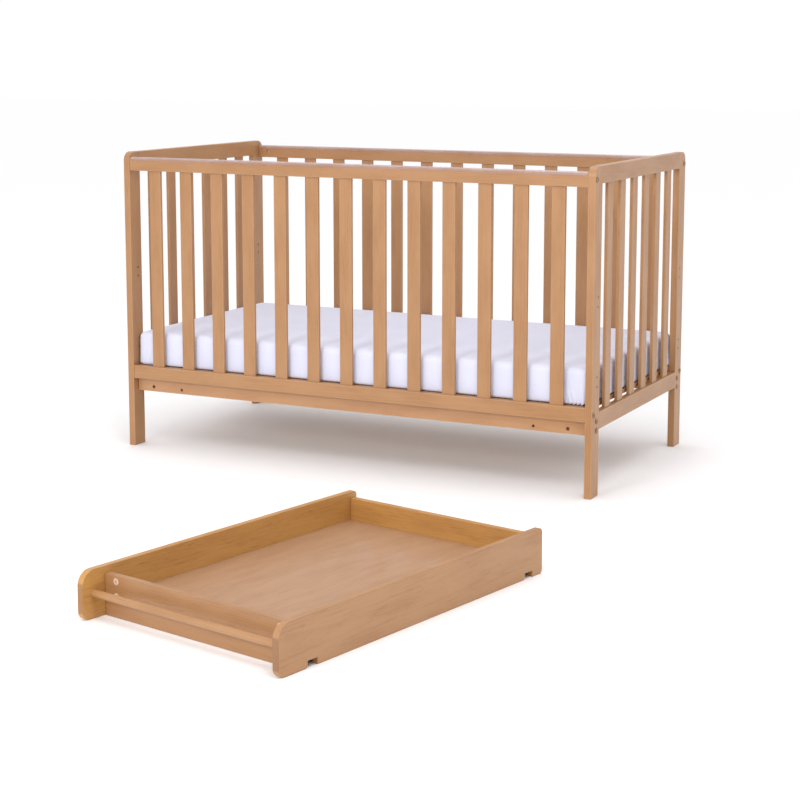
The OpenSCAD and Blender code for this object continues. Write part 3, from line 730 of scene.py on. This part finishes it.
def screw(length):
    """A countersunk cross-recessed screw, head up at the origin."""
    head = rod((0, 0, -SCREW_CONE / 2), Z, SCREW_D, SCREW_CONE, 24)
    edited(head, "FACE", facing((0, 0, 1)), lambda: widened(SCREW_HEAD / SCREW_D))
    edited(head, "FACE", facing((0, 0, -1)),
           lambda: drawn_out((0, 0, SCREW_CONE + SCREW_D - length)),
           lambda: drawn_out((0, 0, -SCREW_D)),
           lambda: widened(SCREW_TIP))
    long, wide, deep = SCREW_CROSS_L / 2, SCREW_CROSS_W / 2, SCREW_CROSS_DEEP
    return cut(head, [block((-long, -wide, -deep), (long, wide, OVER)),
                      block((-wide, -long, -deep), (wide, long, OVER))])


def panel_fasteners():
    inner_x = post_box[1][X]
    shank = inner_x - post_box[0][X] + SIDE_NUT_IN + BOLT_PAST
    nut_x, nut_y = inner_x + SIDE_NUT_IN, top_rail_box[1][Y] - NUT_SINK - NUT_L / 2
    dowel_x = inner_x - DOWEL_IN + DOWEL_L / 2

    def dowel(z):
        pin = rod((dowel_x, side_mid, z), X, DOWEL_D - PLAY, DOWEL_L)
        return lay_grain(eased(pin, ROD_EASE, 2), X, f"dowel{z:.3f}")

    bolts = everywhere(lambda z: bolt(side_mid, z, shank), panel_bolt_zs, "bolts_panel")
    dressed(bolts, "cot", bolt_zinc, "panel_bolts")
    nuts = everywhere(lambda z: barrel_nut(nut_x, nut_y, z, 1), panel_bolt_zs, "nuts_panel")
    dressed(nuts, "cot", brass_nut, "panel_barrel_nuts")
    dowels = everywhere(dowel, panel_dowel_zs, "dowels_panel")
    dressed(dowels, "cot", dowel_wood, "panel_dowels")


def base_fasteners():
    thick = post_box[1][X] - post_box[0][X]
    bolts = everywhere(lambda z: bolt(base_mid, z, thick), base_bolt_zs, "bolts_base")
    dressed(bolts, "cot", bolt_zinc, "base_bolts")
    lo = base_rail_box[0]
    nut_x, nut_y = lo[X] + BASE_NUT_IN, lo[Y] + NUT_SINK + NUT_L / 2
    nuts = everywhere(lambda z: barrel_nut(nut_x, nut_y, z, -1), base_bolt_zs, "nuts_base")
    dressed(nuts, "base", nut_zinc_painted_shade, "base_barrel_nuts")

    long_one, short_one = screw(CROSS_SCREW_L), screw(SLAT_SCREW_L)
    take(long_one)
    long_one.rotation_euler = (math.pi / 2, 0, 0)
    bpy.ops.object.transform_apply(location=False, rotation=True, scale=False)
    head_y = lo[Y] + CROSS_SINK - SCREW_CONE
    screws = [moved(long_one, "screw", (middle(box, X), head_y, z))
              for box in cross_rail_boxes for z in cross_screw_zs]
    screws += [moved(short_one, "screw", (middle(box, X), base_mid, box[1][Z]))
               for box in base_slat_boxes]
    screws += [moved(one, "screw", flip=Y, about=mirror_y) for one in screws]
    thrown_away(long_one)
    thrown_away(short_one)
    dressed(joined(screws, "screws_base"), "base", nut_zinc_painted_shade, "base_screws")


# ---------- mattress base ----------


def base_rails():
    lo, hi = base_rail_box
    rail = eased(block(lo, hi))
    cutters = [block((box[0][X] - PLAY, lo[Y] - OVER, box[0][Z]),
                     (box[1][X] + PLAY, hi[Y] + OVER, hi[Z] + OVER)) for box in base_slat_boxes]
    nut_end = lo[Y] + NUT_L + NUT_SINK
    for end_x, inward in ((lo[X], 1), (hi[X], -1)):
        nut_x = end_x + inward * BASE_NUT_IN
        bolt_x = nut_x + inward * BOLT_PAST
        for z in base_bolt_zs:
            cutters.append(
                bore((end_x - inward * OVER, base_mid, z), (bolt_x, base_mid, z), BOLT_BORE))
            cutters.append(bore((nut_x, lo[Y] - OVER, z), (nut_x, nut_end, z), NUT_BORE))
    for box in cross_rail_boxes:
        x = middle(box, X)
        for z in cross_screw_zs:
            for deep, wide in ((hi[Y] + OVER, SCREW_D), (lo[Y] + CROSS_SINK, SCREW_HEAD)):
                cutters.append(bore((x, lo[Y] - OVER, z), (x, deep, z), wide + SCREW_PLAY))
    cut(rail, cutters)
    for twin, side in two_sides(rail, "base_rail_{side}"):
        dressed(lay_grain(twin, X), "base", base_wood_painted_lighter, f"base_{side}_rail")


def cross_rails():
    rails = [lay_grain(eased(block(*box, f"cross_rail_{i}")), Y)
             for i, box in enumerate(cross_rail_boxes)]
    dressed(joined(rails, "cross_rails"), "base", raw_wood, "base_cross_rails")


def base_slats():
    first = base_slat_boxes[0]
    slat = eased(block(*first), FINE_EASE)
    x, top = middle(first, X), first[1][Z]
    holes = []
    for y in (base_mid, 2 * mirror_y - base_mid):
        sink = bore((x, y, top - SCREW_CONE), (x, y, top + SINK_OVER), SCREW_HEAD, 24)
        edited(sink, "FACE", facing((0, 0, -1)), lambda: widened(SCREW_D / SCREW_HEAD))
        holes.append(sink)
    cut(slat, holes)
    slats = []
    for i, box in enumerate(base_slat_boxes):
        slats.append(lay_grain(moved(slat, f"base_slat_{i + 1}", box[0] - first[0]), Y))
    thrown_away(slat)
    dressed(joined(slats, "slats_base"), "base", raw_wood, "base_slats")


# ---------- mattress and fitted sheet ----------


def between(share, low, high):
    return low + (high - low) * share


def mattress_core():
    """The foam core in its ticking: a rounded block, blown up slightly so that its sides swell."""
    lo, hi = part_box("mattress")
    lo = lo + Vector((CORE_IN, CORE_IN, CORE_UP))
    hi = hi - Vector((CORE_IN, CORE_IN, CORE_UNDER_TOP))
    core = block(lo, hi, "mattress_core")
    for x in (lo[X], hi[X]):
        for y in (lo[Y], hi[Y]):
            round_edges(core, CORE_CORNER, 8, corner((X, x), (Y, y)))
    round_edges(core, CORE_EDGE, 7, corner((Z, hi[Z])))
    round_edges(core, CORE_LOW_EDGE, 4, corner((Z, lo[Z])))
    applied(core, "REMESH", mode="VOXEL", voxel_size=CORE_GRAIN, use_smooth_shade=True)
    swell(core, lo)
    applied(core, "SUBSURF", levels=1, render_levels=1)
    dressed(core, "mattress", ticking, "mattress")
    return core


def swell(core, lo, most=0.003, softness=0.03, pressure=4, frames=16):
    """Runs the core as pressurised cloth, and keeps a few millimetres of what it does."""
    rest = [v.co.copy() for v in core.data.vertices]
    cloth = core.modifiers.new("swelling", "CLOTH")
    cloth.settings.use_pressure = True
    cloth.settings.uniform_pressure_force = pressure
    cloth.settings.effector_weights.gravity = 0
    cloth.point_cache.frame_end = frames
    for moment in range(1, frames + 1):
        bpy.context.scene.frame_set(moment)
    shown = core.evaluated_get(bpy.context.evaluated_depsgraph_get()).data
    blown = [v.co.copy() for v in shown.vertices]
    core.modifiers.remove(cloth)
    bpy.context.scene.frame_set(1)
    for v, before, after in zip(core.data.vertices, rest, blown):
        step = after - before
        place = before + step.normalized() * (most * math.tanh(step.length / softness))
        place.z = max(place.z, lo.z)
        v.co = place


def sheet_columns(half):
    """The threads that run down the sheet's sides, closest together at its corners.

    Each has the corner it starts from, the way out of the mattress, its share of the run to the
    next corner, its distance from the nearest corner's middle, and that corner.
    """
    arc, arc_steps = SHEET_CORNER * math.pi / 4, 12
    near, near_steps, wide_pitch = 0.075, 50, 0.0042
    columns = []
    for quarter in range(4):
        for i in range(arc_steps + 1):
            angle = math.pi / 2 * (quarter + i / arc_steps)
            out = Vector((math.cos(angle), math.sin(angle), 0))
            columns.append((quarter, out, 0.0, arc * (2 * i / arc_steps - 1), quarter))
        run = 2 * ((half.y if quarter % 2 else half.x) - SHEET_CORNER)
        wide_steps = round((run - 2 * near) / wide_pitch)
        close = [near * i / near_steps for i in range(1, near_steps + 1)]
        wide = [between(i / wide_steps, near, run - near) for i in range(1, wide_steps)]
        for along in close + wide + [run - n for n in reversed(close)]:
            mine = along < run / 2
            far = along + arc if mine else along - run - arc
            columns.append((quarter, out, along / run, far, quarter if mine else (quarter + 1) % 4))
    return columns


def ring(columns, centre, half, inset, radius, z):
    """One round of the sheet: a rounded rectangle at one height, with a point on each thread."""
    points = []
    for quarter, out, share, *_ in columns:
        room = Vector((half.x - inset - radius, half.y - inset - radius, 0))
        way = Vector((-out.y, out.x, 0))
        hub = Vector((room.x * (1, -1, -1, 1)[quarter], room.y * (1, 1, -1, -1)[quarter], 0))
        at = centre + hub + out * radius + way * share * 2 * (room.y if quarter % 2 else room.x)
        points.append(Vector((at.x, at.y, z)))
    return points


def sheet_rounds(lo, hi):
    """Inset, corner radius and height of each round, from the hem to the start of the top."""
    rounds = []
    for i in range(TUCK_ROUNDS):
        inset = between(i / TUCK_ROUNDS, SHEET_TUCK, SHEET_LOW_EDGE)
        rounds.append((inset, SHEET_CORNER + 0.6 * (inset - SHEET_LOW_EDGE), lo.z))
    for i in range(LOW_ROUNDS):
        a = math.pi / 2 * i / (LOW_ROUNDS - 1)
        rounds.append((SHEET_LOW_EDGE * (1 - math.sin(a)), SHEET_CORNER,
                       lo.z + SHEET_LOW_EDGE * (1 - math.cos(a))))
    for i in range(1, SIDE_ROUNDS):
        share = (i / SIDE_ROUNDS) ** 1.2
        rounds.append((0, SHEET_CORNER, between(share, lo.z + SHEET_LOW_EDGE, hi.z - CORE_EDGE)))
    for i in range(EDGE_ROUNDS):
        a = math.pi / 2 * i / (EDGE_ROUNDS - 1)
        inset = CORE_EDGE * (1 - math.cos(a))
        rounds.append((inset, SHEET_CORNER - 0.4 * inset, hi.z - CORE_EDGE * (1 - math.sin(a))))
    return rounds


def fitted_sheet(core):
    """The sheet as cut and sewn: over the top, down the sides, tucked under and gathered there."""
    lo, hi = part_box("mattress")
    off = Vector((SHEET_OFF, SHEET_OFF, SHEET_OFF))
    lo = lo + Vector((CORE_IN, CORE_IN, CORE_UP)) - off
    hi = hi - Vector((CORE_IN, CORE_IN, CORE_UNDER_TOP)) + off
    half, centre = (hi - lo) / 2, (lo + hi) / 2
    columns = sheet_columns(half)
    count = len(columns)
    points = []
    for inset, radius, z in sheet_rounds(lo, hi):
        points += ring(columns, centre, half, inset, radius, z)

    # The top closes on a line along its middle.
    rim, ridge = points[-count:], half.x - half.y
    goals = [Vector((centre.x + min(max(place.x - centre.x, -ridge), ridge), centre.y, place.z))
             for place in rim]
    for i in range(1, TOP_ROUNDS + 1):
        share = (i / TOP_ROUNDS) ** 1.35
        points += [place.lerp(goal, share) for place, goal in zip(rim, goals)]
    faces = []
    for first in range(0, len(points) - count, count):
        for i in range(count):
            j = (i + 1) % count
            faces.append((first + i, first + j, first + count + j, first + count + i))

    sheet = from_points("sheet_fitted", points, faces)
    gather(sheet, columns, lo, hi)
    applied(sheet, "SHRINKWRAP", target=core, wrap_method="NEAREST_SURFACEPOINT",
            wrap_mode="OUTSIDE", offset=SHEET_GAP)
    hem = elastic_hem([sheet.data.vertices[i].co.copy() for i in range(count)])
    edited(sheet, "FACE", lambda face: True,
           lambda: bpy.ops.mesh.remove_doubles(threshold=SHEET_MERGE))
    for piece, material in ((sheet, sheet_cotton), (hem, hem_cotton)):
        take(piece)
        bpy.ops.object.shade_smooth()
        piece.data.materials.append(material)
        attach(piece, "mattress")


def from_points(name, points, faces):
    mesh = bpy.data.meshes.new(name)
    mesh.from_pydata(points, [], faces)
    return edited(in_scene(name, mesh), "FACE", lambda face: True,
                  lambda: bpy.ops.mesh.normals_make_consistent(inside=False))


def gather(sheet, columns, lo, hi):
    """Puts the folds in: fanning at the corners, small along the elastic, and faint pulls above."""
    for index, v in enumerate(sheet.data.vertices):
        row, column = divmod(index, len(columns))
        _, out, _, far, near = columns[column]
        up = v.co.z - lo.z
        on_top = max(0.0, min(1.0, (up / (hi.z - lo.z) - 0.78) / 0.15))
        # Folds at a corner widen upwards; the others run straight up.
        fan = far - far * math.exp(-(far / FAN_REACH) ** 2) * (1 - 1 / (1 + 9 * up))
        drift = noise.noise(Vector((v.co.x * 16, v.co.y * 16, up * 6)))
        wave = math.sin(fan * 2 * math.pi / FOLD_PITCH + 2.1 * near + drift * 3.2) * 0.5 + 0.5
        at_corner = math.exp(-(far / FOLD_REACH) ** 2)
        corner_fold = FOLD_DEPTH * FOLD_FULLNESS[near] * at_corner * math.exp(-up / FOLD_UP)
        edge_fold = EDGE_FOLD_DEPTH * (0.7 + drift) * math.exp(-up / EDGE_FOLD_UP)
        depth = corner_fold + edge_fold
        if row < TUCK_ROUNDS:
            v.co.z -= wave * HEM_RIPPLE
            continue
        pull = noise.noise(Vector((v.co.x * 9, v.co.y * 9, v.co.z * 16 + 3)))
        v.co += out * (wave * depth + (pull * SIDE_PULL + SIDE_SWELL) * (1 - on_top))
        crown = noise.noise(Vector((v.co.x * 3.1, v.co.y * 4.3, 7))) + 0.6
        v.co.z += crown * TOP_CROWN * on_top
        v.co.z += (1 - wave) * depth * 0.9 * math.exp(-up / 0.012)


def elastic_hem(edge):
    """The gathered elastic: a narrow flat tube along the sheet's edge."""
    # Each point of the tube's section: millimetres in from the edge, and tenths of one up.
    profile = [(-3, 6), (0, 8), (3, 6), (3, -2), (0, -3), (-3, -2)]
    centre = sum(edge, Vector()) / len(edge)
    points, faces = [], []
    count, sides = len(edge), len(profile)
    for i, place in enumerate(edge):
        way = (edge[(i + 1) % count] - edge[i - 1]).normalized()
        inward = Vector((-way.y, way.x, 0)).normalized()
        if inward.dot(centre - place) < 0:
            inward.negate()
        points += [place + inward * a / 1000 + Vector((0, 0, b / 10000)) for a, b in profile]
    for i in range(count):
        j = (i + 1) % count
        for k in range(sides):
            n = (k + 1) % sides
            faces.append((i * sides + k, i * sides + n, j * sides + n, j * sides + k))
    return from_points("sheet_hem", points, faces)


# ---------- changer ----------

tray_lo, tray_hi = span([*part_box("changer_left_board"), *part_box("changer_right_board")])
tray_centre = Vector(((tray_lo.x + tray_hi.x) / 2, (tray_lo.y + tray_hi.y) / 2, tray_lo.z))
tray_place = Matrix.Translation(tray_centre) @ Matrix.Rotation(TRAY_TURN, 4, "Z")


def own_box(node):
    """The corners of one of the changer's nodes, in the changer's own axes and from its middle."""
    back = tray_place.inverted()
    return span([back @ v.co for v in frame["nodes"][node].data.vertices])


left_box, front_box, rear_box = (
    own_box(f"changer_{side}_board") for side in ("left", "front", "rear"))
floor_box, towel_box = own_box("changer_floor_panel"), own_box("towel_rail")
front_to_rear = (middle(front_box, Y) + middle(rear_box, Y)) / 2


def set_down(obj, material, node):
    """Turns a piece of the changer as the changer stands, and dresses it."""
    take(obj)
    obj.matrix_world = tray_place
    bpy.ops.object.transform_apply(location=True, rotation=True, scale=True)
    return dressed(obj, "changer", material, node)


def changer_side_boards():
    lo, hi = left_box
    board = block(lo, hi)
    for radius, y, z in ((FRONT_TOP_ROUND, lo[Y], hi[Z]), (FRONT_FOOT_ROUND, lo[Y], lo[Z]),
                         (REAR_ROUND, hi[Y], hi[Z]), (REAR_ROUND, hi[Y], lo[Z])):
        round_edges(board, radius, 8, corner((Y, y), (Z, z)))
    # The notches lie as far apart as the cot's long rails, over which they hook.
    notch_pitch = 2 * (mirror_y - side_mid)
    for y in (lo[Y] + NOTCH_IN, lo[Y] + NOTCH_IN + notch_pitch):
        start, end = y - NOTCH_W / 2, y + NOTCH_W / 2
        cut(board, [block((lo[X] - OVER, start, lo[Z] - OVER),
                          (hi[X] + OVER, end, lo[Z] + NOTCH_D))])
        round_edges(board, NOTCH_ROUND, 6, corner((Y, start), (Z, lo[Z])))
    eased(board)
    panel_lo, panel_hi = floor_box
    groove = block((panel_lo[X] - GROOVE_PLAY, panel_lo[Y] - END_PLAY, panel_lo[Z] - GROOVE_PLAY),
                   (hi[X] + OVER, panel_hi[Y] + END_PLAY, panel_hi[Z] + GROOVE_PLAY))
    y, z = middle(towel_box, Y), middle(towel_box, Z)
    socket = bore((towel_box[0][X] - SOCKET_PLAY, y, z), (hi[X] + OVER, y, z),
                  towel_box[1][Z] - towel_box[0][Z] + PLAY, 48)
    bolt_end = hi[X] - CAM_BOLT_IN - PLAY
    cam_rows = [(middle(box, Y), z) for box in (front_box, rear_box) for z in CAM_ZS]
    bolt_bores = [bore((bolt_end, y, z), (hi[X] + OVER, y, z), CAM_BOLT_D + PLAY)
                  for y, z in cam_rows]
    cut(board, [groove, socket, *bolt_bores])
    right = moved(board, "tray_board_right", flip=X)
    board.name = "tray_board_left"
    # The left board shows its inner face, so it takes the copy with painted bounce light; the right
    # one shows its outer face, so it takes the copy with painted shade.
    set_down(lay_grain(board, Y), golden_wood_painted_bounce, "changer_left_board")
    set_down(lay_grain(right, Y), muted_wood_painted_shade, "changer_right_board")


def changer_cross_boards():
    lo, hi = front_box
    board = eased(block(lo, hi), FINE_EASE)
    panel_lo, panel_hi = floor_box
    groove = block((lo[X] - OVER, panel_lo[Y] - GROOVE_PLAY, panel_lo[Z] - GROOVE_PLAY),
                   (hi[X] + OVER, hi[Y] + OVER, panel_hi[Z] + GROOVE_PLAY))
    cutters = [groove]
    shaft_y = middle(front_box, Y)
    for end_x, inward in ((lo[X], 1), (hi[X], -1)):
        cam_x = end_x + inward * CAM_IN
        for z in CAM_ZS:
            front, deep = (cam_x, lo[Y] - OVER, z), (cam_x, lo[Y] + CAM_DEEP, z)
            outside, inside = (end_x - inward * OVER, shaft_y, z), (cam_x, shaft_y, z)
            cutters += [bore(front, deep, CAM_BORE, 40), bore(outside, inside, BOLT_BORE)]
    cut(board, cutters)
    rear = moved(board, "tray_board_rear", flip=Y, about=front_to_rear)
    board.name = "tray_board_front"
    # The front board shows its outer face, so it takes the copy with painted shade; the rear one
    # shows its inner face, so it takes the copy with painted bounce light.
    set_down(lay_grain(board, X), muted_wood_painted_shade, "changer_front_board")
    set_down(lay_grain(rear, X), golden_wood_painted_bounce, "changer_rear_board")


def changer_floor():
    panel = eased(block(*floor_box, "tray_floor"), PANEL_EASE, 2)
    set_down(lay_grain(panel, Y), changer_ply, "changer_floor_panel")


def towel_rod():
    lo, hi = towel_box
    y, z = middle(towel_box, Y), middle(towel_box, Z)
    bar = bore((lo[X], y, z), (hi[X], y, z), hi[Z] - lo[Z], 64)
    bar.name = "towel_bar"
    set_down(lay_grain(eased(bar, ROD_EASE, 2), X), muted_wood_painted_shade, "towel_rail")


def cam_fitting(z):
    """A cam in the front board's left end, its cross recess outwards, with the bolt it pulls."""
    x, y = front_box[0][X] + CAM_IN, front_box[0][Y]
    cam = eased(bore((x, y, z), (x, y + CAM_DEEP, z), CAM_D, 40), CAM_EASE, 2)
    long, wide = CAM_CROSS_L / 2, CAM_CROSS_W / 2
    cut(cam, [block((x - long, y - OVER, z - wide), (x + long, y + CAM_CROSS_DEEP, z + wide)),
              block((x - wide, y - OVER, z - long), (x + wide, y + CAM_CROSS_DEEP, z + long)),
              bore((x, y - OVER, z), (x, y + CAM_HUB_DEEP, z), CAM_HUB_D, 24)])
    shaft_x, shaft_y = front_box[0][X] - CAM_BOLT_IN, middle(front_box, Y)
    shaft = bore((shaft_x, shaft_y, z), (x - CAM_D / 2, shaft_y, z), CAM_BOLT_D, 24)
    return joined([cam, shaft], "cam")


def cam_fittings():
    quarter = joined([cam_fitting(z) for z in CAM_ZS], "cams")
    ends = joined([quarter, moved(quarter, "right", flip=X)], "cams")
    rear = moved(ends, "rear", flip=Y, about=front_to_rear)
    set_down(joined([ends, rear], "tray_cams"), cam_zinc, "changer_cam_fittings")


# ---------- studio ----------

CAMERA_AT = (2.2098, -3.8225, 1.153)
CAMERA_TILT, CAMERA_TURN = math.radians(81.8), math.radians(26.6)
CAMERA_LENS, CAMERA_SENSOR, CAMERA_SHIFT = 79.69, 36, -0.12
FLOOR_SIZE, FLOOR_ROUGH = 60, 0.7
FLOOR_PALE, FLOOR_PALER = (0.95, 0.95, 0.95, 1), (0.97, 0.97, 0.97, 1)
STUDIO_WHITE, STUDIO_STRENGTH = (0.985, 0.98, 1.0, 1), 1.05
# Each light: its name, its place, where it points, its size and its watts
LIGHTS = (
    ("key_light", (-0.5, -5.0, 2.4), (mirror_x, mirror_y, 0.4), (1.7, 1.1), 92),
    ("fill_light", (1.5, -1.7, 2.8), (-0.3, -0.2, 0.1), (1.2, 1.2), 25),
    ("top_light", (0.0, 0.8, 2.9), (-0.1, 0.7, 0.0), (1.2, 0.8), 7),
)


def area_light(name, at, toward, size, watts):
    lamp = bpy.data.lights.new(name, "AREA")
    lamp.shape, lamp.size, lamp.size_y = "RECTANGLE", *size
    lamp.energy = watts
    stand = in_scene(name, lamp)
    stand.location = at
    stand.rotation_euler = (Vector(toward) - Vector(at)).to_track_quat("-Z", "Y").to_euler()


def pale_floor():
    bpy.ops.object.select_all(action="DESELECT")
    bpy.ops.mesh.primitive_plane_add(size=FLOOR_SIZE, location=(0, 0, 0))
    floor = settled(bpy.context.object, "studio_floor")
    f = Finish("pale_floor")
    speckle = f.noise(f.node("ShaderNodeTexCoord", {}, {}, "Object"), 40, 3)
    f.bump(speckle, 0.05, 0.001)
    pale = f.mix(speckle, FLOOR_PALE, FLOOR_PALER)
    floor.data.materials.append(f.paint(pale, speckle * 0.1 + FLOOR_ROUGH))


def studio_light():
    world = bpy.data.worlds.new("studio_white")
    world.use_nodes = True
    background = world.node_tree.nodes["Background"].inputs
    background["Color"].default_value = STUDIO_WHITE
    background["Strength"].default_value = STUDIO_STRENGTH
    bpy.context.scene.world = world
    bpy.context.scene.view_settings.view_transform = "Standard"
    for light in LIGHTS:
        area_light(*light)


def camera():
    eye = bpy.data.cameras.new("camera")
    eye.lens, eye.sensor_width, eye.shift_y = CAMERA_LENS, CAMERA_SENSOR, CAMERA_SHIFT
    stand = in_scene("camera", eye)
    stand.location = CAMERA_AT
    stand.rotation_euler = (CAMERA_TILT, 0, CAMERA_TURN)
    bpy.context.scene.camera = stand


posts()
end_panels()
side_rails()
side_slats()
teething_covers()
panel_fasteners()
base_fasteners()
base_rails()
cross_rails()
base_slats()
fitted_sheet(mattress_core())
changer_side_boards()
changer_cross_boards()
changer_floor()
towel_rod()
cam_fittings()
pale_floor()
studio_light()
camera()
